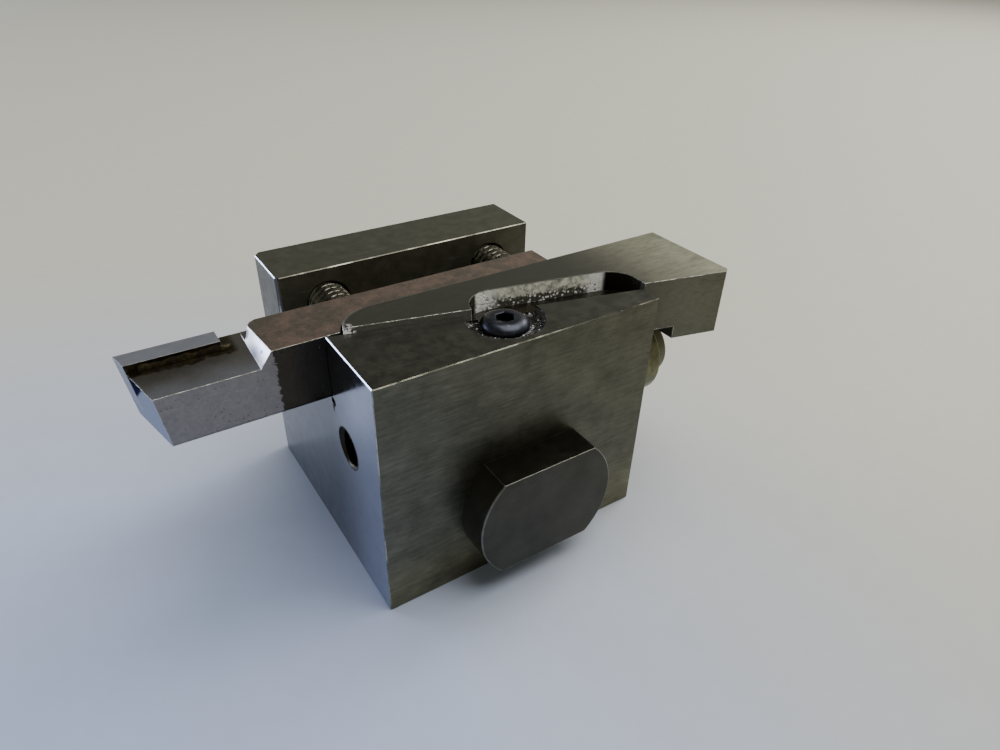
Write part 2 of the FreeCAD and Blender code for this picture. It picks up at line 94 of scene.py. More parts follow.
class Graph:
    """One material's node tree, with a short call for each kind of node used here."""

    def __init__(self, name):
        self.material = bpy.data.materials.new(name)
        self.material.use_nodes = True
        self.tree = self.material.node_tree
        self.shader = self.tree.nodes["Principled BSDF"]
        coordinates = self.tree.nodes.new("ShaderNodeTexCoord")
        self.place = coordinates.outputs["Object"]
        self.x, self.y, self.z = self.split(self.place)
        self.normal_x, self.normal_y, self.normal_z = self.split(coordinates.outputs["Normal"])

    def add(self, kind, inputs, **settings):
        node = self.tree.nodes.new(kind)
        for name, value in settings.items():
            setattr(node, name, value)
        for key, value in inputs.items():
            self.feed(node.inputs[key], value)
        return node

    def feed(self, socket, value):
        if isinstance(value, bpy.types.NodeSocket):
            self.tree.links.new(value, socket)
        else:
            socket.default_value = value

    def split(self, vector):
        return self.add("ShaderNodeSeparateXYZ", {0: vector}).outputs

    def math(self, operation, first, second=0.0):
        return self.add("ShaderNodeMath", {0: first, 1: second}, operation=operation).outputs[0]

    def product(self, *values):
        result = values[0]
        for value in values[1:]:
            result = self.math("MULTIPLY", result, value)
        return result

    def inverse(self, value):
        return self.math("SUBTRACT", 1.0, value)

    def highest(self, *values):
        result = values[0]
        for value in values[1:]:
            result = self.math("MAXIMUM", result, value)
        return result

    def remap(self, value, start, end, low=0.0, high=1.0):
        """Smooth step: low before start, high after end. start may be above end."""
        if start > end:
            start, end, low, high = end, start, high, low
        node = self.add("ShaderNodeMapRange", {0: value, 1: start, 2: end, 3: low, 4: high},
                        interpolation_type="SMOOTHSTEP")
        return node.outputs[0]

    def noise(self, size, detail=3.0, roughness=0.6, stretch=(1, 1, 1), shift=0.0):
        """Noise with features about size metres across, stretched along the axes."""
        scale = tuple(1 / s for s in stretch)
        mapping = self.add("ShaderNodeMapping", {0: self.place, 1: (shift, shift, shift), 3: scale})
        node = self.add("ShaderNodeTexNoise", {"Vector": mapping.outputs[0], "Scale": 1 / size,
                                               "Detail": detail, "Roughness": roughness})
        return node.outputs[0]

    def wandering(self, place, noise, swing):
        """A coordinate moved to and fro by noise, over a swing in metres, for a ragged border."""
        return self.math("ADD", place, self.product(self.math("SUBTRACT", noise, 0.5), swing))

    def specks(self, size, reach, shift=0.0):
        """1 inside scattered specks: cells of about size metres, each with a dot of reach times that."""
        mapping = self.add("ShaderNodeMapping", {0: self.place, 1: (shift, shift, shift)})
        cells = self.add("ShaderNodeTexVoronoi", {"Vector": mapping.outputs[0], "Scale": 1 / size})
        return self.remap(cells.outputs["Distance"], reach, reach * 0.6)

    def near(self, point, radius, core=0.7):
        """1 at a point and over the core of the radius, falling to 0 at radius metres from it."""
        node = self.add("ShaderNodeVectorMath", {0: self.place, 1: point}, operation="DISTANCE")
        return self.remap(node.outputs["Value"], radius, radius * core)

    def skin(self, low, high, outer, inner):
        """1 down to the outer depth below a box's faces, falling to 0 at the inner depth."""
        places = zip((self.x, self.y, self.z), low, high)
        return self.highest(*(self.remap(value, face + side * inner, face + side * outer)
                              for value, start, end in places for face, side in ((start, 1), (end, -1))))

    def mix(self, factor, first, second):
        node = self.add("ShaderNodeMix", {0: factor, 6: first, 7: second}, data_type="RGBA")
        return node.outputs[2]

    def mix_value(self, factor, first, second):
        return self.add("ShaderNodeMix", {0: factor, 2: first, 3: second}, data_type="FLOAT").outputs[0]

    def shade(self, colour, factor, dark, light):
        """colour, times a brightness from dark to light as factor goes from 0 to 1."""
        value = self.mix_value(factor, dark, light)
        vector = colour[:3] if isinstance(colour, tuple) else colour
        scaled = self.add("ShaderNodeVectorMath", {0: vector, 3: value}, operation="SCALE")
        return scaled.outputs[0]

    def bump(self, height, depth, below=None):
        """Bump of the given depth in metres, on top of another bump."""
        node = self.add("ShaderNodeBump", {"Height": height, "Distance": depth, "Strength": 1.0})
        if below is not None:
            self.feed(node.inputs["Normal"], below)
        return node.outputs[0]

    def lifted(self, normal, share):
        """Normal turned towards +Z, by up to 45 degrees, as over a face's rounded foot."""
        up = self.add("ShaderNodeVectorMath", {0: (0.0, 0.0, 1.0), 3: share}, operation="SCALE").outputs[0]
        turned = self.add("ShaderNodeVectorMath", {0: normal, 1: up}, operation="ADD").outputs[0]
        return self.add("ShaderNodeVectorMath", {0: turned}, operation="NORMALIZE").outputs[0]

    def worn_edges(self, width):
        """Normal rounded over the sharp edges, and a mask that is 1 along them."""
        rounded = self.add("ShaderNodeBevel", {"Radius": width}, samples=6).outputs[0]
        plain = self.add("ShaderNodeNewGeometry", {}).outputs["Normal"]
        turn = self.add("ShaderNodeVectorMath", {0: rounded, 1: plain}, operation="DOT_PRODUCT")
        return rounded, self.remap(turn.outputs["Value"], 0.995, 0.94)

    def finish(self, colour, roughness, normal=None, metallic=1.0):
        self.feed(self.shader.inputs["Base Color"], colour)
        self.feed(self.shader.inputs["Roughness"], roughness)
        self.feed(self.shader.inputs["Metallic"], metallic)
        if normal is not None:
            self.feed(self.shader.inputs["Normal"], normal)
        return self.material


# ---- materials -----------------------------------------------------------------------------------


def body_side_colour(g, on_end, cloud, patches):
    """Satin ground side, streaked along the grinding, warmer at the foot of the front face."""
    front_foot = g.product(g.remap(g.z, 13 * MM, 2 * MM), g.remap(g.normal_y, -0.8, -0.95))
    colour = g.mix(front_foot, rgb(0.108, 0.107, 0.082), rgb(0.170, 0.162, 0.102))
    colour = g.shade(colour, cloud, 0.45, 1.55)
    colour = g.shade(colour, patches, 0.62, 1.38)
    streaks = g.mix_value(on_end, g.noise(0.30 * MM, 4, 0.7, stretch=(10, 1, 1), shift=30.0),
                          g.noise(0.30 * MM, 4, 0.7, stretch=(1, 10, 1), shift=30.0))
    return g.shade(colour, g.remap(streaks, 0.3, 0.7), 0.83, 1.17)


def body_left_reflection_colour(g, bar_end, cloud):
    """Finely ground left end, coloured as a painted reflection: pale blue by the front face, dark behind,
    with faint pale patches of painted floor reflection low down.
    """
    # Painted reflection of the cool floor and the dark tool: pale blue by the front face, dark towards the
    # back.
    colour = g.mix(g.remap(g.y, BODY_LOW.y + 3 * MM, BODY_LOW.y + 17 * MM),
                   rgb(0.360, 0.390, 0.500), rgb(0.066, 0.075, 0.104))
    colour = g.mix(bar_end, colour, rgb(0.056, 0.062, 0.078))
    colour = g.shade(colour, cloud, 0.75, 1.25)
    # Painted floor reflection: faint pale patches low down on the left end.
    painted_floor_reflection = g.product(g.remap(g.z, BODY_HIGH.z * 0.55, BODY_HIGH.z * 0.2),
                     g.remap(g.noise(2.6 * MM, 4, 0.6, shift=12.0), 0.4, 0.7))
    return g.mix(g.product(painted_floor_reflection, 0.14), colour, rgb(0.36, 0.39, 0.46))


def body_material():
    """Ground steel: satin sides, a finely ground left end with painted reflections, dark oily inside faces,
    bright edges, and a painted pale blue highlight along the upper left edges.
    """
    g = Graph("ground_steel_body")
    up = g.remap(g.normal_z, 0.8, 0.95)
    left = g.remap(g.normal_x, -0.8, -0.95)
    skin = g.skin(BODY_LOW, BODY_HIGH, 0.2 * MM, 0.3 * MM)
    square = g.highest(*(g.math("ABSOLUTE", n) for n in (g.normal_x, g.normal_y, g.normal_z)))
    edge = g.product(g.remap(square, 0.93, 0.88), skin)
    upper_left_painted_highlight = g.product(edge, g.remap(g.normal_x, -0.4, -0.6), g.remap(g.normal_z, 0.4, 0.6))
    bar_end = g.product(g.remap(g.y, BODY_HIGH.y - BAR - 1 * MM, BODY_HIGH.y - BAR),
                        g.remap(g.z, TOOL_LOW.z - 6 * MM, TOOL_LOW.z + 2 * MM))

    cloud = g.noise(5 * MM, 5, 0.65)
    patches = g.noise(2.2 * MM, 5, 0.7, shift=3.0)
    on_end = g.remap(g.math("ABSOLUTE", g.normal_x), 0.8, 0.95)
    grain = g.mix_value(on_end, g.noise(0.12 * MM, 3, 0.6, stretch=(14, 1, 1)),
                        g.noise(0.12 * MM, 3, 0.6, stretch=(1, 14, 1)))
    scratches = g.remap(g.noise(0.25 * MM, 2, 0.5, stretch=(40, 1, 1.5), shift=7.0), 0.66, 0.74)

    top = g.mix(bar_end, rgb(0.110, 0.112, 0.097), rgb(0.122, 0.124, 0.100))
    top = g.shade(top, patches, 0.75, 1.25)
    inside = g.shade(rgb(0.110, 0.104, 0.076), patches, 0.3, 1.7)
    colour = g.mix(up, body_side_colour(g, on_end, cloud, patches), top)
    colour = g.mix(left, colour, body_left_reflection_colour(g, bar_end, cloud))
    colour = g.mix(skin, inside, colour)
    colour = g.shade(colour, grain, 0.8, 1.2)
    colour = g.mix(g.product(scratches, 0.25), colour, rgb(0.30, 0.29, 0.26))
    stretches = g.remap(g.noise(4 * MM, 3, 0.6, shift=21.0), 0.40, 0.62)
    rubbed = g.shade(rgb(0.30, 0.29, 0.245), stretches, 0.4, 1.5)
    colour = g.mix(edge, colour, g.shade(rubbed, patches, 0.5, 1.5))
    # Painted highlight: pale blue along the upper left edges, where the cool light catches them.
    colour = g.mix(upper_left_painted_highlight, colour, rgb(0.74, 0.80, 1.0))

    rough = g.mix_value(up, 0.40, g.mix_value(bar_end, 0.34, 0.46))
    rough = g.mix_value(left, rough, g.mix_value(bar_end, 0.16, 0.30))
    rough = g.mix_value(skin, 0.42, rough)
    rough = g.mix_value(edge, rough, 0.28)
    rough = g.math("ADD", rough, g.remap(patches, 0.3, 0.7, -0.04, 0.06))
    normal = g.bump(grain, 0.004 * MM)
    normal = g.bump(patches, 0.006 * MM, normal)
    return g.finish(colour, rough, normal, g.mix_value(skin, 0.5, 1.0))


def pocket_wall_colour(g, speckle, shiny_with_painted_highlight):
    """Milled wall, dry and pale above, wet below with painted white glints, and painted white highlights at
    its glossy ends.
    """
    blotch = g.noise(0.9 * MM, 3, 0.6, shift=15.0)
    height = g.math("ADD", g.z, g.product(speckle, 2.4 * MM))
    dry = g.remap(height, WEDGE_HIGH.z - 0.9 * MM, WEDGE_HIGH.z - 0.3 * MM)
    pale = g.shade(rgb(0.62, 0.62, 0.55), g.remap(blotch, 0.3, 0.7), 0.45, 1.55)
    # Painted glints: white specks on the dark wet foot of the wall.
    wet = g.mix(g.specks(0.55 * MM, 0.42, shift=1.0), rgb(0.050, 0.046, 0.034), rgb(1.0, 1.0, 0.95))
    return g.mix(shiny_with_painted_highlight, g.mix(dry, wet, pale), rgb(1.0, 1.0, 1.0))


def wedge_material():
    """Satin steel, rubbed pale towards the right end, with a rough milled pocket, painted highlights on the
    pocket wall, a painted glint at the nose, and a painted reflection on the proud strip of front face.
    """
    g = Graph("wedge_steel_worn")
    top = g.remap(g.normal_z, 0.8, 0.95)
    front_line = g.math("ADD", g.y, g.product(g.x, WEDGE_SLOPE))
    front_at = wedge_wall_y(0)
    behind_front = g.remap(front_line, front_at + 0.8 * MM, front_at + 1.0 * MM)
    before_rear = g.remap(g.y, WEDGE_HIGH.y - 0.2 * MM, WEDGE_HIGH.y - 0.4 * MM)
    upper = g.remap(g.z, WEDGE_HIGH.z - 3.4 * MM, WEDGE_HIGH.z - 3.2 * MM)
    below_top = g.remap(g.z, WEDGE_HIGH.z - 0.04 * MM, WEDGE_HIGH.z - 0.1 * MM)
    left_of_end = g.remap(g.x, WEDGE_HIGH.x - 8 * MM, WEDGE_HIGH.x - 9 * MM)
    right_of_nose = g.remap(g.x, WEDGE_LOW.x + 10 * MM, WEDGE_LOW.x + 11 * MM)
    pocket = g.product(behind_front, before_rear, upper, below_top, left_of_end, right_of_nose)
    wall = g.product(pocket, g.remap(g.normal_y, -0.88, -0.97))
    end = g.remap(g.x, WEDGE_HIGH.x - 24 * MM, WEDGE_HIGH.x)

    nose = g.remap(g.x, WEDGE_LOW.x + 5 * MM, WEDGE_LOW.x + 3 * MM)
    near_front = g.remap(front_line, front_at + 0.9 * MM, front_at + 0.7 * MM)
    curve = g.product(nose, g.inverse(near_front))
    rounded, edge = g.worn_edges(g.mix_value(curve, 0.16 * MM, 0.85 * MM))
    edge = g.product(edge, g.highest(near_front, nose, 0.2))

    cloud = g.noise(7 * MM, 4, 0.65, stretch=(2.5, 1, 1))
    on_end = g.remap(g.normal_x, 0.8, 0.95)
    grain = g.mix_value(on_end, g.noise(0.10 * MM, 3, 0.6, stretch=(18, 1, 1)),
                        g.noise(0.10 * MM, 3, 0.6, stretch=(1, 1, 18)))
    streaks = g.mix_value(on_end, g.noise(0.30 * MM, 4, 0.7, stretch=(7, 1, 1), shift=5.0),
                          g.noise(0.40 * MM, 4, 0.7, stretch=(1, 1, 9), shift=5.0))
    broken = g.remap(g.noise(0.8 * MM, 4, 0.7, shift=11.0), 0.42, 0.60)
    speckle = g.noise(0.42 * MM, 3, 0.7, shift=9.0)
    grit = g.noise(0.35 * MM, 5, 0.8, shift=2.0)

    base = g.shade(rgb(0.086, 0.085, 0.074), cloud, 0.6, 1.4)
    rubbed = g.shade(rgb(0.365, 0.365, 0.285), streaks, 0.75, 1.25)
    worn = g.product(end, g.remap(cloud, 0.25, 0.5, 0.6, 1.0), g.remap(streaks, 0.1, 0.6, 0.55, 1.0))
    colour = g.mix(worn, base, rubbed)
    colour = g.mix(g.product(top, g.remap(end, 0.0, 0.6, 1.0, 0.0), 0.45), colour, rgb(0.075, 0.077, 0.066))
    colour = g.shade(colour, grain, 0.8, 1.2)
    front = g.remap(g.normal_y, -0.7, -0.9)
    colour = g.shade(colour, g.product(end, front), 1.0, 0.37)
    colour = g.shade(colour, on_end, 1.0, 0.5)
    # Painted reflection: the proud strip of front face beside the body top gets a lighter, less metallic tone
    # in place of the body top it would mirror.
    proud = g.product(front, g.inverse(end), g.inverse(pocket))
    colour = g.mix(proud, colour, g.shade(rgb(0.105, 0.103, 0.092), streaks, 0.6, 1.4))
    oily = g.shade(rgb(0.030, 0.024, 0.016), grit, 0.3, 1.8)
    colour = g.mix(pocket, colour, oily)
    # Painted highlights: white specks towards both ends of the pocket wall, which is also less rough there.
    shiny_with_painted_highlight = g.product(g.highest(g.remap(g.x, WEDGE_LOW.x + 23.5 * MM, WEDGE_LOW.x + 21.5 * MM),
                                g.remap(g.x, WEDGE_HIGH.x - 20.5 * MM, WEDGE_HIGH.x - 18.5 * MM)),
                      g.remap(speckle, 0.36, 0.46))
    colour = g.mix(wall, colour, pocket_wall_colour(g, speckle, shiny_with_painted_highlight))
    rim = g.product(edge, g.inverse(pocket))
    rim_colour = g.mix(broken, rgb(0.20, 0.195, 0.170), rgb(0.80, 0.80, 0.76))
    colour = g.mix(rim, colour, g.mix(curve, rim_colour, g.shade(rgb(0.25, 0.25, 0.24), streaks, 0.5, 1.5)))
    foot = (WEDGE_LOW.x + 0.7 * MM, wedge_wall_y(WEDGE_LOW.x) + 0.3 * MM, WEDGE_HIGH.z - 1.0 * MM)
    glint = g.product(g.near(foot, 1.3 * MM, 0.6), g.remap(g.noise(0.5 * MM, 2, 0.5, shift=17.0), 0.43, 0.47))
    colour = g.mix(glint, colour, rgb(0.94, 0.95, 1.0))

    rough = g.mix_value(worn, 0.36, 0.44)
    rough = g.mix_value(pocket, rough, 0.14)
    rough = g.mix_value(wall, rough, g.mix_value(shiny_with_painted_highlight, 0.48, 0.25))
    rough = g.math("ADD", rough, g.remap(streaks, 0.3, 0.7, -0.04, 0.06))
    lift = g.highest(g.product(wall, 0.7), glint, g.product(proud, 0.6))
    normal = g.bump(grain, 0.004 * MM, g.lifted(rounded, lift))
    normal = g.bump(g.product(pocket, grit), 0.10 * MM, normal)
    normal = g.bump(g.product(wall, speckle), 0.20 * MM, normal)
    metallic = g.mix_value(g.highest(wall, glint, g.product(proud, 0.9)), 0.85, 0.22)
    return g.finish(colour, rough, normal, metallic)


def ramp_reflection_colour(g, mottle):
    """Ground ramp between the head and the shank, painted near white and pale blue as a reflection of the
    lamp light, with two dark blots on it.
    """
    blots = g.highest(g.near((RAMP_RIGHT - 1.2 * MM, -0.6 * MM, TOOL_HIGH.z - 0.9 * MM), 0.75 * MM),
                      g.near((RAMP_RIGHT - 0.9 * MM, -5.9 * MM, TOOL_HIGH.z - 0.9 * MM), 0.35 * MM))
    # Painted reflection: near white with pale blue mottling.
    bright = g.mix(g.remap(mottle, 0.4, 0.6), rgb(0.97, 0.97, 0.98), rgb(0.78, 0.82, 1.0))
    return g.mix(g.product(blots, 0.8), bright, rgb(0.20, 0.22, 0.34))


def tool_material():
    """Forged shank with brown oxide on top, ground head and ramp, pitted front, oily by the post; painted
    sheen on the head top, painted reflections on the ramp and the end face.
    """
    g = Graph("tool_steel_oxidised")
    top = g.remap(g.normal_z, 0.6, 0.85)
    front = g.remap(g.normal_y, -0.8, -0.95)
    end = g.product(g.remap(g.normal_x, -0.7, -0.9), g.remap(g.x, TOOL_LOW.x + 5 * MM, TOOL_LOW.x + 4 * MM))
    above_diagonal = g.math("SUBTRACT", g.product(g.math("SUBTRACT", g.y, TOOL_LOW.y), 1 / (9.5 * MM)),
                            g.product(g.math("SUBTRACT", TOOL_HIGH.z, g.z), 1 / (7.5 * MM)))
    dark_end_reflection = g.product(end, g.remap(above_diagonal, -0.04, 0.04))
    ramp = g.product(g.remap(g.normal_x, -0.4, -0.6), g.remap(g.x, HEAD_RIGHT - 1 * MM, HEAD_RIGHT),
                     g.remap(g.x, RAMP_RIGHT + 0.6 * MM, RAMP_RIGHT), g.remap(g.normal_z, 0.1, 0.2))
    head_top = g.product(top, g.remap(g.z, TOOL_HIGH.z - 1.0 * MM, TOOL_HIGH.z - 1.4 * MM))

    rounded, edge = g.worn_edges(0.14 * MM)
    edge = g.product(edge, g.remap(g.normal_y, 0.2, 0.0))

    mottle = g.noise(2.6 * MM, 6, 0.7)
    fine = g.noise(0.5 * MM, 5, 0.7, shift=4.0)
    broad = g.noise(4.5 * MM, 3, 0.5, shift=14.0)
    grain = g.noise(0.12 * MM, 3, 0.6, stretch=(10, 1, 1), shift=1.0)
    pits = g.product(g.specks(0.55 * MM, 0.20), g.remap(g.noise(1.4 * MM, 2, 0.5, shift=8.0), 0.42, 0.6))
    flecks = g.product(g.specks(0.9 * MM, 0.2, shift=2.0), g.remap(fine, 0.45, 0.6))

    bare = g.shade(rgb(0.245, 0.222, 0.202), fine, 0.7, 1.3)
    bare = g.shade(bare, mottle, 0.8, 1.2)
    oxide = g.mix(g.remap(mottle, 0.38, 0.62), rgb(0.145, 0.128, 0.108), rgb(0.245, 0.178, 0.150))
    oxide = g.shade(oxide, fine, 0.55, 1.45)
    # Ground head top, brown-grey behind and turning bluish grey towards its front edge as a painted sheen.
    from_front = g.math("ADD", g.y, g.product(broad, 4 * MM))
    ground = g.mix(g.remap(from_front, TOOL_LOW.y + 7 * MM, TOOL_LOW.y + 1.5 * MM),
                   rgb(0.175, 0.166, 0.153), rgb(0.30, 0.315, 0.36))
    ground = g.shade(ground, fine, 0.8, 1.2)
    ragged = g.wandering(g.x, g.noise(0.9 * MM, 5, 0.7, shift=6.0), 2.2 * MM)
    oil = g.product(g.remap(ragged, RAMP_RIGHT - 0.1 * MM, RAMP_RIGHT + 0.1 * MM), g.inverse(top))
    wet = g.shade(rgb(0.040, 0.034, 0.024), mottle, 0.5, 1.5)

    spread = g.wandering(g.y, g.noise(2.2 * MM, 4, 0.55, shift=3.0), 4.5 * MM)
    stain_edge = CARBIDE_LOW.y - 1.2 * MM
    stain = g.product(head_top, g.remap(spread, stain_edge - 0.25 * MM, stain_edge + 0.25 * MM),
                      g.remap(g.x, CARBIDE_HIGH.x + 2.2 * MM, CARBIDE_HIGH.x + 1.0 * MM))
    scorch = g.mix(g.remap(fine, 0.35, 0.65), rgb(0.075, 0.062, 0.042), rgb(0.130, 0.115, 0.075))

    colour = g.mix(top, bare, oxide)
    colour = g.mix(head_top, colour, ground)
    colour = g.mix(stain, colour, scorch)
    colour = g.mix(g.product(flecks, top, 0.5), colour, rgb(0.30, 0.22, 0.19))
    colour = g.mix(oil, colour, wet)
    colour = g.mix(g.product(front, pits, 0.7), colour, rgb(0.070, 0.062, 0.052))
    # Painted reflections on the end face: pale grey on its lower facet, dark blue above the diagonal, with a
    # matching blue specular tint.
    colour = g.mix(end, colour, rgb(0.44, 0.455, 0.49))
    colour = g.mix(dark_end_reflection, colour, rgb(0.055, 0.058, 0.085))
    painted_reflection_tint = g.mix(dark_end_reflection, g.mix(end, rgb(1, 1, 1), rgb(0.50, 0.54, 0.66)), rgb(0.06, 0.07, 0.24))
    g.feed(g.shader.inputs["Specular Tint"], painted_reflection_tint)
    colour = g.mix(ramp, colour, ramp_reflection_colour(g, mottle))
    colour = g.shade(colour, grain, 0.88, 1.12)
    rubbed = g.mix(g.remap(fine, 0.42, 0.58), rgb(0.26, 0.25, 0.23), rgb(0.72, 0.71, 0.69))
    colour = g.mix(g.product(edge, g.inverse(stain)), colour, rubbed)

    rough = g.mix_value(top, 0.42, 0.50)
    rough = g.mix_value(head_top, rough, 0.40)
    rough = g.mix_value(stain, rough, 0.28)
    rough = g.mix_value(oil, rough, 0.15)
    rough = g.mix_value(end, rough, g.mix_value(dark_end_reflection, 0.25, 0.40))
    rough = g.mix_value(ramp, rough, 0.34)
    normal = g.bump(g.product(g.inverse(ramp), fine), 0.02 * MM, rounded)
    normal = g.bump(g.product(front, pits), -0.05 * MM, normal)
    normal = g.bump(grain, 0.004 * MM, normal)
    return g.finish(colour, rough, normal)


def carbide_material():
    """Sintered carbide: cool matt grey, with painted shade on its rear side, and brazing scale on its front
    side.
    """
    g = Graph("carbide_sintered")
    fine = g.noise(0.08 * MM, 3, 0.6)
    mottle = g.noise(1.6 * MM, 5, 0.6)
    front = g.remap(g.normal_y, -0.8, -0.95)
    rounded, edge = g.worn_edges(0.10 * MM)
    face = g.shade(rgb(0.33, 0.345, 0.405), mottle, 0.8, 1.2)
    face = g.shade(face, fine, 0.85, 1.15)
    # Painted shade: the rear side darker.
    face = g.shade(face, g.remap(g.normal_y, 0.8, 0.95), 1.0, 0.45)
    scale = g.mix(g.remap(mottle, 0.4, 0.62), rgb(0.030, 0.022, 0.013), rgb(0.075, 0.064, 0.030))
    colour = g.mix(front, face, scale)
    colour = g.mix(g.product(edge, 0.6), colour, rgb(0.50, 0.51, 0.55))
    rough = g.mix_value(front, g.remap(fine, 0.3, 0.7, 0.42, 0.55), 0.32)
    return g.finish(colour, rough, g.bump(fine, 0.004 * MM, rounded))


def braze_material():
    """Braze with dark scorched skin and a few olive-brass glints."""
    g = Graph("braze_scorched")
    mottle = g.noise(0.8 * MM, 5, 0.7)
    fine = g.noise(0.18 * MM, 3, 0.6)
    colour = g.mix(g.remap(mottle, 0.45, 0.72), rgb(0.026, 0.018, 0.010), rgb(0.085, 0.070, 0.028))
    normal = g.bump(mottle, 0.08 * MM)
    normal = g.bump(fine, 0.02 * MM, normal)
    return g.finish(colour, g.remap(fine, 0.3, 0.7, 0.32, 0.5), normal, metallic=0.7)


def screw_material(name, colour, gloss, worn):
    """Blackened screw steel, rubbed to bare metal in patches. Its roughness starts at gloss."""
    g = Graph(name)
    mottle = g.noise(0.9 * MM, 5, 0.65)
    fine = g.noise(0.14 * MM, 3, 0.6)
    rubbed = g.remap(mottle, 0.60, 0.72)
    skin = g.shade(colour, fine, 0.7, 1.3)
    skin = g.mix(g.product(rubbed, worn), skin, rgb(0.45, 0.43, 0.40))
    rough = g.remap(mottle, 0.3, 0.7, gloss, gloss + 0.14)
    normal = g.bump(fine, 0.006 * MM)
    return g.finish(skin, rough, normal)


def turned_material(name, colour, tarnish, axis, centre):
    """Turned metal: fine rings about the axis, with tarnish in patches."""
    g = Graph(name)
    across = [c for c in "xyz" if c != axis]
    squares = [g.math("POWER", g.math("SUBTRACT", getattr(g, c), getattr(centre, c)), 2.0) for c in across]
    radius = g.math("SQRT", g.math("ADD", *squares))
    rings = g.add("ShaderNodeTexNoise", {"W": g.product(radius, 1 / (0.09 * MM)), "Scale": 1.0},
                  noise_dimensions="1D").outputs[0]
    mottle = g.noise(2.0 * MM, 5, 0.65)
    fine = g.noise(0.2 * MM, 3, 0.6)
    skin = g.mix(g.remap(mottle, 0.35, 0.65), colour, tarnish)
    skin = g.shade(skin, rings, 0.75, 1.25)
    skin = g.shade(skin, fine, 0.85, 1.15)
    normal = g.bump(rings, 0.006 * MM)
    normal = g.bump(fine, 0.006 * MM, normal)
    return g.finish(skin, g.remap(mottle, 0.3, 0.7, 0.30, 0.42), normal)


def t_nut_material():
    """Charcoal satin steel with fine mill marks and a few scratches, painted shade on its top and bottom
    faces, and painted light on its left-facing sides.
    """
    g = Graph("t_nut_steel_satin")
    rounded, edge = g.worn_edges(0.15 * MM)
    cloud = g.noise(5 * MM, 4, 0.6)
    grain = g.noise(0.12 * MM, 3, 0.6, stretch=(12, 1, 1))
    patches = g.noise(1.4 * MM, 5, 0.7, shift=2.0)
    scratches = g.remap(g.noise(0.3 * MM, 2, 0.5, stretch=(14, 1, 2), shift=7.0), 0.70, 0.76)
    colour = g.shade(rgb(0.057, 0.055, 0.044), cloud, 0.5, 1.5)
    colour = g.shade(colour, patches, 0.8, 1.2)
    colour = g.shade(colour, grain, 0.85, 1.15)
    colour = g.mix(g.product(scratches, 0.15), colour, rgb(0.30, 0.30, 0.28))
    # Painted shade on the top and bottom faces, and painted light on the left-facing sides.
    flat = g.highest(g.remap(g.normal_z, 0.8, 0.95), g.remap(g.normal_z, -0.8, -0.95))
    colour = g.shade(colour, flat, 1.0, 0.55)
    colour = g.shade(colour, g.remap(g.normal_x, -0.4, -0.8), 1.0, 1.7)
    colour = g.mix(edge, colour, g.shade(rgb(0.34, 0.34, 0.31), patches, 0.3, 1.7))
    rough = g.remap(patches, 0.3, 0.7, 0.32, 0.42)
    return g.finish(colour, rough, g.bump(grain, 0.004 * MM, rounded))


def oil_material():
    """Dark used oil: brown-black and wet."""
    g = Graph("used_oil")
    g.shader.inputs["Specular IOR Level"].default_value = 0.45
    film = g.noise(0.7 * MM, 3, 0.5)
    colour = g.mix(film, rgb(0.003, 0.003, 0.002), rgb(0.010, 0.008, 0.005))
    glints = g.product(g.specks(0.60 * MM, 0.26), g.remap(g.noise(1.5 * MM, 2, 0.5, shift=5.0), 0.45, 0.55))
    colour = g.mix(glints, colour, rgb(0.80, 0.84, 1.0))
    return g.finish(colour, g.remap(film, 0.3, 0.7, 0.08, 0.18), g.bump(film, 0.40 * MM), metallic=0.0)


# ---- mesh helpers --------------------------------------------------------------------------------


TURN_STEPS = 16                  # rings to each turn of a thread


def round_ring(radius):
    return lambda angle, height: radius


def hex_ring(across_flats):
    """Radius of a hexagon whose corners lie at multiples of 60 degrees."""
    sixth = math.pi / 3

    def radius(angle, height):
        return across_flats / 2 / math.cos(angle % sixth - sixth / 2)
    return radius


def thread_ridge(angle, height, pitch):
    """Height of a right-hand V thread with flattened crests and roots, from 0 to 1."""
    phase = (height / pitch - angle / math.tau) % 1
    flat = 0.15
    return min(max((abs(2 * phase - 1) - flat) / (1 - 2 * flat), 0), 1)


def thread_ring(crest, depth, pitch, envelope):
    """Radius of such a thread, cut down to the envelope's (height, radius) points."""
    def radius(angle, height):
        return min(crest - depth * (1 - thread_ridge(angle, height, pitch)), along(envelope, height))
    return radius


def along(points, position):
    """Value at position on the straight runs between (position, value) points."""
    for (a, low), (b, high) in zip(points, points[1:]):
        if position <= b:
            return low + (high - low) * (position - a) / (b - a)
    return points[-1][1]


def thread_rings(crest, depth, pitch, envelope, steps=TURN_STEPS):
    """Rings along a thread, steps to each turn, as (height, radius function)."""
    start, end = envelope[0][0], envelope[-1][0]
    count = math.ceil((end - start) / pitch * steps)
    radius = thread_ring(crest, depth, pitch, envelope)
    return [(start + (end - start) * i / count, radius) for i in range(count + 1)]


def add_mesh(name, points, faces, material, body, sharp_angle=35):
    """New piece that rides on a body, smooth apart from its sharp edges."""
    mesh = bpy.data.meshes.new(name)
    mesh.from_pydata(points, [], faces)
    mesh.validate()
    mesh.shade_smooth()
    mesh.set_sharp_from_angle(angle=math.radians(sharp_angle))
    mesh.materials.append(material)
    piece = bpy.data.objects.new(name, mesh)
    bpy.context.scene.collection.objects.link(piece)
    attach(piece, body)
    return piece


def loft_faces(rings, segments, closed=True):
    """Quads between successive rings, and a face across each end when closed."""
    faces = []
    for low in range(0, (rings - 1) * segments, segments):
        for i in range(segments):
            j = (i + 1) % segments
            faces.append((low + i, low + j, low + segments + j, low + segments + i))
    if closed:
        last = (rings - 1) * segments
        faces.append(tuple(reversed(range(segments))))
        faces.append(tuple(range(last, last + segments)))
    return faces


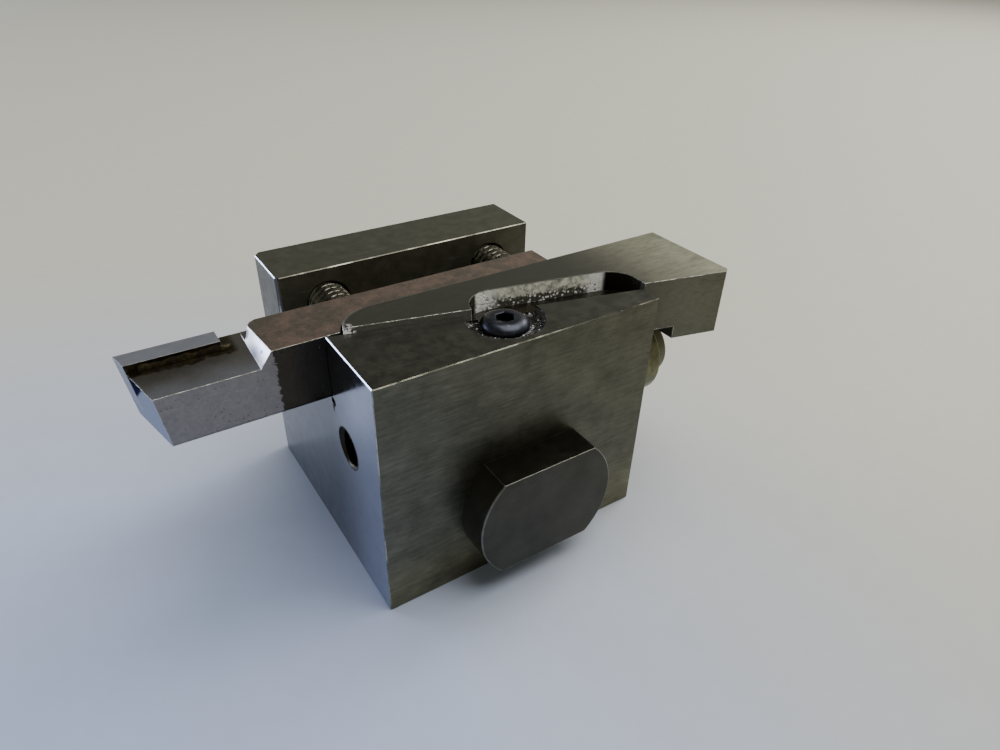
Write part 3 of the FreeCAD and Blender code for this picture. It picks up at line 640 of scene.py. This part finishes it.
def revolved(name, sections, foot, axis, segments, material, body):
    """Piece lofted through (height, radius function) sections that stand on foot along axis."""
    stand = Matrix.Translation(foot) @ axis.to_track_quat("Z", "Y").to_matrix().to_4x4()
    points = []
    for height, radius in sections:
        for i in range(segments):
            angle = math.tau * i / segments
            r = radius(angle, height)
            points.append(stand @ Vector((r * math.cos(angle), r * math.sin(angle), height)))
    return add_mesh(name, points, loft_faces(len(sections), segments), material, body)


def rounded_edge(height, radius, fillet, steps=4):
    """Sections round the top edge of a head, whose corner would be at (height, radius)."""
    sections = []
    for i in range(steps + 1):
        angle = math.pi / 2 * i / steps
        sections.append((height - fillet * (1 - math.sin(angle)), radius - fillet * (1 - math.cos(angle))))
    return sections


def socket(height, depth, across_flats):
    """Sections of a hexagon socket with a small lead-in and a drilled bottom."""
    lead = 0.12 * MM
    return [(height, hex_ring(across_flats + 2 * lead)),
            (height - lead, hex_ring(across_flats)),
            (height - depth, hex_ring(across_flats)),
            (height - depth, round_ring(across_flats * 0.47)),
            (height - depth - across_flats * 0.2, round_ring(0.05 * MM))]


# ---- screws --------------------------------------------------------------------------------------

UNC_5_16_PITCH = 25.4 / 18 * MM
UNC_1_4_PITCH = 25.4 / 20 * MM
RETAINER_PITCH = 25.4 / 32 * MM
THREAD_DEPTH = 0.58              # of the pitch


def clamp_screw(node, body, material):
    """Cup-point set screw, standing along +Y from its point."""
    low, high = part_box(node)
    crest = (high.x - low.x) / 2
    length = high.y - low.y
    cup = 1.75 * MM
    end_break = 0.5 * MM
    envelope = [(0, cup), (crest - cup, crest), (length - end_break, crest), (length, crest - end_break)]
    sections = [(0.6 * MM, round_ring(0.05 * MM)), (0.05 * MM, round_ring(1.05 * MM)),
                (0, round_ring(1.25 * MM))]
    sections += thread_rings(crest, THREAD_DEPTH * UNC_1_4_PITCH, UNC_1_4_PITCH, envelope)
    sections += socket(length, 4.5 * MM, 3.175 * MM)
    foot = Vector(((low.x + high.x) / 2, low.y, (low.z + high.z) / 2))
    piece = revolved(node + "_threaded", sections, foot, Vector((0, 1, 0)), 48, material, body)
    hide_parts(node)


def retaining_screw(material):
    """Button-head screw, standing along +Z from the end of its shank."""
    low, high = BUTTON_LOW, BUTTON_HIGH
    head = (high.x - low.x) / 2
    length = high.z - low.z
    head_height = 1.75 * MM
    under_head = length - head_height
    crest = 1.75 * MM
    crown = 1.75 * MM
    rim = 0.40 * MM
    envelope = [(0, crest - 0.3 * MM), (0.3 * MM, crest), (under_head, crest)]
    sections = [(0, round_ring(0.3 * MM))]
    sections += thread_rings(crest, THREAD_DEPTH * RETAINER_PITCH, RETAINER_PITCH, envelope, steps=12)
    sections += [(under_head, round_ring(head - 0.08 * MM)), (under_head + 0.08 * MM, round_ring(head))]
    steps = 14
    for i in range(steps + 1):
        angle = math.pi / 2 * i / steps
        sections.append((under_head + rim + (head_height - rim) * math.sin(angle),
                         round_ring(crown + (head - crown) * math.cos(angle))))
    sections += socket(length, 1.3 * MM, 2.4 * MM)
    foot = Vector(((low.x + high.x) / 2, (low.y + high.y) / 2, low.z))
    piece = revolved("retaining_screw_button", sections, foot, Vector((0, 0, 1)), 96, material,
                     "post")
    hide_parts("wedge_retaining_screw")


def adjuster_screw(material):
    """Low-head cap screw along +X, with the groove for its snap ring."""
    low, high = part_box("adjuster_screw")
    clip_low, clip_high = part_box("collar_clip")
    length = high.x - low.x
    head = (high.z - low.z) / 2
    head_height = 3.175 * MM
    under_head = length - head_height
    crest = 3.175 * MM
    groove_radius = 2.6 * MM
    groove = (clip_low.x - 0.02 * MM - low.x, clip_high.x + 0.02 * MM - low.x)
    depth = THREAD_DEPTH * UNC_1_4_PITCH
    envelope = [(0, crest - 0.7 * MM), (0.7 * MM, crest), (groove[0], crest)]
    sections = [(0, round_ring(0.3 * MM))]
    sections += thread_rings(crest, depth, UNC_1_4_PITCH, envelope)
    sections += [(groove[0], round_ring(groove_radius)), (groove[1], round_ring(groove_radius)),
                 (groove[1], round_ring(crest)), (under_head, round_ring(crest)),
                 (under_head, round_ring(head - 0.05 * MM)), (under_head + 0.05 * MM, round_ring(head))]
    sections += [(h, round_ring(r)) for h, r in rounded_edge(length, head, 0.35 * MM)]
    sections += socket(length, 1.9 * MM, 3.97 * MM)
    foot = Vector((low.x, (COLLAR_LOW.y + COLLAR_HIGH.y) / 2, (COLLAR_LOW.z + COLLAR_HIGH.z) / 2))
    piece = revolved("adjuster_screw_threaded", sections, foot, Vector((1, 0, 0)), 48, material,
                     "adjuster")
    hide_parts("adjuster_screw")


def clamp_bolt(material):
    """Socket-head cap screw along +Y, with a knurled head."""
    low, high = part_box("clamp_bolt")
    length = high.y - low.y
    head = (high.x - low.x) / 2
    head_height = 7.94 * MM
    under_head = length - head_height
    crest = 3.97 * MM
    turned = head - 0.2 * MM
    segments = 96

    def knurl(angle, height):
        return head - 0.16 * MM * (round(angle / math.tau * segments) % 2)

    plain_from = 20 * MM
    envelope = [(0, crest - 0.8 * MM), (0.8 * MM, crest), (plain_from, crest)]
    sections = [(0, round_ring(0.3 * MM))]
    sections += thread_rings(crest, THREAD_DEPTH * UNC_5_16_PITCH, UNC_5_16_PITCH, envelope, steps=12)
    sections += [(plain_from, round_ring(crest)), (under_head, round_ring(crest)),
                 (under_head, round_ring(turned - 0.1 * MM)), (under_head + 0.15 * MM, round_ring(turned)),
                 (under_head + 0.5 * MM, knurl), (length - 1.3 * MM, knurl),
                 (length - 1.0 * MM, round_ring(turned))]
    sections += [(h, round_ring(r)) for h, r in rounded_edge(length, turned, 0.6 * MM)]
    sections += socket(length, 4.2 * MM, 6.35 * MM)
    foot = Vector(((low.x + high.x) / 2, low.y, (low.z + high.z) / 2))
    piece = revolved("clamp_bolt_knurled", sections, foot, Vector((0, 1, 0)), segments, material,
                     "bolt")
    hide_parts("clamp_bolt")


def bore_thread(material):
    """Female thread seen in the mouth of the adjuster's bore, in the left end of the body."""
    centre_y = (COLLAR_LOW.y + COLLAR_HIGH.y) / 2
    centre_z = (COLLAR_LOW.z + COLLAR_HIGH.z) / 2
    outer = 3.26 * MM
    root = 3.20 * MM
    depth = 0.50 * MM
    start = 0.005 * MM
    length = 9.5 * MM
    segments = 64
    flare = [(start, root - 0.3 * MM), (start + 0.3 * MM, root - depth), (length, root - depth)]

    def radius(angle, height):           # angle runs backwards about +X, so that faces point inwards
        return max(root - depth * thread_ridge(-angle, height, UNC_1_4_PITCH), along(flare, height))

    count = math.ceil((length - start) / UNC_1_4_PITCH * TURN_STEPS)
    sections = [(start + (length - start) * i / count, radius) for i in range(count + 1)]
    sections += [(length, round_ring(outer)), (start, round_ring(outer))]
    points = []
    for height, ring in sections:
        for i in range(segments):
            angle = math.tau * i / segments
            r = ring(angle, height)
            points.append((BODY_LOW.x + height, centre_y - r * math.cos(angle),
                           centre_z + r * math.sin(angle)))
    faces = loft_faces(len(sections), segments, closed=False)
    last = (len(sections) - 1) * segments
    faces += [(last + i, last + (i + 1) % segments, (i + 1) % segments, i) for i in range(segments)]
    add_mesh("adjuster_bore_thread", points, faces, material, "post")


# ---- oil and braze -------------------------------------------------------------------------------


def oil_pool(material):
    """Oil lying in the counterbore, drawn up where it meets the screw head and the bore."""
    centre = Vector(((BUTTON_LOW.x + BUTTON_HIGH.x) / 2, (BUTTON_LOW.y + BUTTON_HIGH.y) / 2))
    floor = BODY_HIGH.z - 1.6 * MM
    inner = 3.2 * MM
    outer = 5.585 * MM
    across = 12
    steps = 72
    normal = Vector((WEDGE_SLOPE, 1)).normalized()
    wall = (Vector((0, wedge_wall_y(centre.x) - centre.y)) @ normal) - 0.05 * MM
    half_gap = math.acos(wall / inner) + 0.12
    towards = math.atan2(normal.y, normal.x)
    rows = []
    for i in range(steps + 1):
        angle = towards + half_gap + (math.tau - 2 * half_gap) * i / steps
        facing = math.cos(angle - towards)
        reach = min(outer, wall / facing) if facing > 0 else outer
        row = []
        for k in range(across + 1):
            share = k / across
            radius = inner + (reach - inner) * share
            climb = 0.42 * MM * share ** 6 + 0.30 * MM * (1 - share) ** 6
            ripple = 0.04 * MM * math.sin(5 * angle + 9 * share)
            row.append((centre.x + radius * math.cos(angle), centre.y + radius * math.sin(angle),
                        floor + 0.22 * MM + climb + ripple))
        rows.append(row)
    top = [p for row in rows for p in row]
    bottom = [(x, y, floor + 0.005 * MM) for x, y, z in top]
    width = across + 1
    offset = len(top)
    faces = []
    for i in range(steps):
        for k in range(across):
            a = i * width + k
            faces.append((a, a + 1, a + width + 1, a + width))
            faces.append((offset + a, offset + a + width, offset + a + width + 1, offset + a + 1))
    rim = [i * width for i in range(steps + 1)]
    rim += [steps * width + k for k in range(1, width)]
    rim += [i * width + across for i in range(steps - 1, -1, -1)]
    rim += list(range(across - 1, 0, -1))
    for a, b in zip(rim, rim[1:] + rim[:1]):
        faces.append((a, b, offset + b, offset + a))
    add_mesh("counterbore_oil", top + bottom, faces, material, "post")


def braze_bead(material):
    """Scorched braze in the corner between the head and the carbide's proud front side."""
    left = TOOL_LOW.x + 1.3 * MM
    right = CARBIDE_HIGH.x
    face = CARBIDE_LOW.y
    head_z = TOOL_HIGH.z - 1.85 * MM
    steps = 60
    around = 10
    points = []
    for i in range(steps + 1):
        share = i / steps
        x = left + (right + 1.5 * MM - left) * share
        swell = 0.5 + 0.28 * math.sin(17 * share + 0.6) + 0.22 * math.sin(41 * share)
        blob = math.exp(-((x - right - 0.55 * MM) / (0.55 * MM)) ** 2)
        taper = math.sqrt(max(0.0, min(1.0, (1 - share) / 0.05, share / 0.02 + 0.3)))
        width = (0.16 + 0.14 * swell + 0.45 * blob) * MM * taper
        height = (0.62 + 0.35 * swell - 0.15 * blob) * MM * taper
        for k in range(around):
            angle = math.tau * k / around
            points.append((x, face - 0.02 * MM + width * math.cos(angle), head_z + height * math.sin(angle)))
    faces = loft_faces(steps + 1, around)
    add_mesh("braze_bead", points, faces, material, "tool", sharp_angle=60)


def oil_drip(material):
    """Bead of oil hanging from the corner relief, on the left end of the body."""
    y = wedge_wall_y(BODY_LOW.x) - 0.1 * MM
    z = TOOL_LOW.z - 0.5 * MM
    rings = [(0.0, 0.30), (0.4, 0.42), (0.9, 0.36), (1.4, 0.20), (1.8, 0.03)]
    segments = 16
    points = []
    for drop, radius in rings:
        for i in range(segments):
            angle = -math.tau * i / segments
            points.append((BODY_LOW.x - 0.01 * MM + 0.55 * radius * MM * (math.cos(angle) + 0.6),
                           y + radius * MM * math.sin(angle), z - drop * MM))
    faces = loft_faces(len(rings), segments)
    add_mesh("oil_drip", points, faces, material, "post", sharp_angle=80)


# ---- carried-over nodes --------------------------------------------------------------------------


def dress(node, material):
    """Give a CAD node its finish."""
    slots = frame["nodes"][node].data.materials
    slots.clear()
    slots.append(material)


# ---- stage ---------------------------------------------------------------------------------------


def make_floor():
    """Pale floor, with a painted pool of cool light to the left of the post."""
    half = 4.0
    painted_cool_light_spot = (-0.095, -0.045, 0.0)
    gap = 0.01 * MM              # keeps the floor off the face that the post lies on
    mesh = bpy.data.meshes.new("floor")
    mesh.from_pydata([(-half, -half, 0), (half, -half, 0), (half, half, 0), (-half, half, 0)], [],
                     [(0, 1, 2, 3)])
    floor = bpy.data.objects.new("floor", mesh)
    bpy.context.scene.collection.objects.link(floor)
    g = Graph("floor_pale")
    mottle = g.noise(4 * MM, 3, 0.6)
    # Painted pool of cool blue light on the floor to the left of the post.
    pale = g.mix(g.near(painted_cool_light_spot, 0.20, 0.1), rgb(0.69, 0.68, 0.60), rgb(0.52, 0.63, 0.97))
    mesh.materials.append(g.finish(g.shade(pale, mottle, 0.96, 1.04), 0.6, metallic=0.0))
    floor.location.z = CAD_LOW.z - gap


def area_light(name, place, aim, size, power, colour):
    light = bpy.data.lights.new(name, "AREA")
    light.shape = "RECTANGLE"
    light.size, light.size_y = size
    light.energy = power
    light.color = colour
    lamp = bpy.data.objects.new(name, light)
    bpy.context.scene.collection.objects.link(lamp)
    lamp.location = place
    lamp.rotation_euler = (Vector(aim) - Vector(place)).to_track_quat("-Z", "Y").to_euler()


def make_lights():
    """Soft lamps over the post, behind it to the left and at its right, and a dim room."""
    centre = (0.0, 0.0, 0.02)
    area_light("soft_overhead", (0.30, -0.08, 0.95), centre, (0.9, 0.9), 9.5, (1.0, 0.98, 0.90))
    area_light("window_back_left", (-0.75, 1.05, 0.28), centre, (0.7, 0.55), 9.0, (0.72, 0.80, 1.0))
    area_light("soft_right", (0.80, 0.18, 0.47), centre, (0.35, 0.25), 2.2, (1.0, 0.98, 0.90))

    world = bpy.data.worlds.new("studio")
    bpy.context.scene.world = world
    world.use_nodes = True
    tree = world.node_tree
    background = tree.nodes["Background"]
    coordinates = tree.nodes.new("ShaderNodeTexCoord")
    height = tree.nodes.new("ShaderNodeSeparateXYZ")
    ramp = tree.nodes.new("ShaderNodeValToRGB")
    tree.links.new(coordinates.outputs["Generated"], height.inputs[0])
    tree.links.new(height.outputs["Z"], ramp.inputs[0])
    tree.links.new(ramp.outputs[0], background.inputs["Color"])
    ramp.color_ramp.elements[0].position = 0.36
    ramp.color_ramp.elements[0].color = rgb(0.43, 0.42, 0.34)
    ramp.color_ramp.elements[1].position = 0.52
    ramp.color_ramp.elements[1].color = rgb(0.05, 0.052, 0.05)


def make_camera():
    """Camera close to the post, above its front left corner."""
    place = (-0.0474, -0.08453, 0.08466)
    turn_degrees = (56.404, -1.472, -33.210)
    data = bpy.data.cameras.new("camera")
    data.lens = 25.77
    data.sensor_width = 36.0
    data.clip_start = 0.005
    camera = bpy.data.objects.new("camera", data)
    bpy.context.scene.collection.objects.link(camera)
    camera.location = place
    camera.rotation_euler = Euler([math.radians(a) for a in turn_degrees])
    bpy.context.scene.camera = camera


# ---- build ---------------------------------------------------------------------------------------


def main():
    rubbed = screw_material("screw_steel_rubbed", rgb(0.170, 0.165, 0.135), 0.17, 0.8)
    oiled = screw_material("screw_steel_oiled", rgb(0.120, 0.114, 0.080), 0.30, 0.3)
    black = screw_material("screw_steel_black", rgb(0.110, 0.105, 0.092), 0.24, 0.9)
    blued = screw_material("screw_steel_blued", rgb(0.056, 0.060, 0.080), 0.30, 0.3)
    oil = oil_material()
    braze = braze_material()
    body = body_material()
    bolt_centre = (T_NUT_LOW + T_NUT_HIGH) / 2
    collar_centre = (COLLAR_LOW + COLLAR_HIGH) / 2
    bronze = turned_material("collar_bronze_tarnished", rgb(0.185, 0.178, 0.100), rgb(0.105, 0.104, 0.065),
                             "x", collar_centre)
    washer = turned_material("washer_steel", rgb(0.30, 0.30, 0.28), rgb(0.18, 0.17, 0.15), "y", bolt_centre)

    dress("tool_post_body", body)
    dress("height_wedge", wedge_material())
    dress("tool_shank", tool_material())
    dress("carbide_tip", carbide_material())
    dress("braze_seam", braze)
    dress("adjuster_collar", bronze)
    dress("collar_clip", black)
    dress("clamp_washer", washer)
    dress("t_nut", t_nut_material())

    clamp_screw("clamp_screw_left", "left_clamp", rubbed)
    clamp_screw("clamp_screw_right", "right_clamp", rubbed)
    retaining_screw(blued)
    adjuster_screw(oiled)
    clamp_bolt(black)
    bore_thread(screw_material("bore_steel_oily", rgb(0.028, 0.025, 0.019), 0.22, 0.0))
    oil_pool(oil)
    oil_drip(oil)
    braze_bead(braze)

    make_floor()
    make_lights()
    make_camera()


main()
